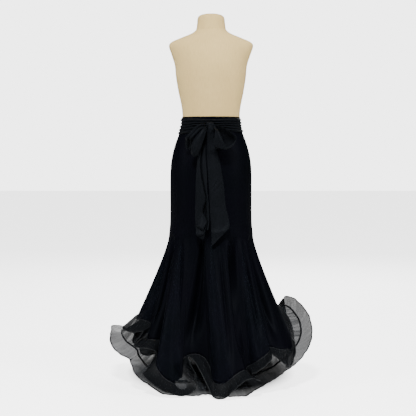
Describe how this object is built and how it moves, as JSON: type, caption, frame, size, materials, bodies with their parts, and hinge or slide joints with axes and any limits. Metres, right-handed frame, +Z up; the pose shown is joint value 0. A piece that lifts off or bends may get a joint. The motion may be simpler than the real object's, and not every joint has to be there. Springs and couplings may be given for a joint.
{
  "type": "ballroom skirt with a tied sash on a limbless dress form",
  "caption": "Long near-black ballroom skirt, fitted to the knee, with deep flared folds and sheer stiffened hems, a sash tied in a soft bow, on a cream dress form with pole and base.",
  "frame": {"origin": "on the floor, under the middle of the stand's base", "axes": "+Z up; the bow at the wearer's back is on the -Y side, which the picture shows; +X to the viewer's right"},
  "size_m": [0.8496, 0.9276, 1.5115],
  "materials": {
    "crepe": "matt navy-black crepe",
    "godet_crepe": "matt navy-black crepe",
    "georgette": "matt black georgette, slightly see-through",
    "sheer_net": "fine black see-through cloth",
    "net_braid": "see-through stiffened net braid",
    "linen": "plain cream linen",
    "steel": "satin"
  },
  "bodies": {
    "root": {"form_base": "steel", "form_pole": "steel", "form_torso": "linen", "godet_far_centre": "godet_crepe", "godet_far_left": "godet_crepe", "godet_far_right": "godet_crepe", "godet_left": "godet_crepe", "godet_near_centre": "godet_crepe", "godet_near_left": "godet_crepe", "godet_near_right": "godet_crepe", "godet_right": "godet_crepe", "gore_far_left_inner": "crepe", "gore_far_left_outer": "crepe", "gore_far_right_inner": "crepe", "gore_far_right_outer": "crepe", "gore_near_left_inner": "crepe", "gore_near_left_outer": "crepe", "gore_near_right_inner": "crepe", "gore_near_right_outer": "crepe", "hem_braid_far_centre": "net_braid", "hem_braid_far_left": "net_braid", "hem_braid_far_right": "net_braid", "hem_braid_left": "net_braid", "hem_braid_near_centre": "net_braid", "hem_braid_near_left": "net_braid", "hem_braid_near_right": "net_braid", "hem_braid_right": "net_braid", "sash_knot": "georgette", "sash_loop_left_lower": "georgette", "sash_loop_left_upper": "georgette", "sash_loop_right": "georgette", "sash_tail_left": "georgette", "sash_tail_right": "georgette", "sash_wrap_left": "georgette", "sash_wrap_right": "georgette", "underskirt_braid_far": "net_braid", "underskirt_braid_left": "net_braid", "underskirt_braid_near": "net_braid", "underskirt_braid_right": "net_braid", "underskirt_far": "sheer_net", "underskirt_left": "sheer_net", "underskirt_near": "sheer_net", "underskirt_right": "sheer_net", "waistband_far": "crepe", "waistband_near": "crepe"}
  },
  "joints": []
}
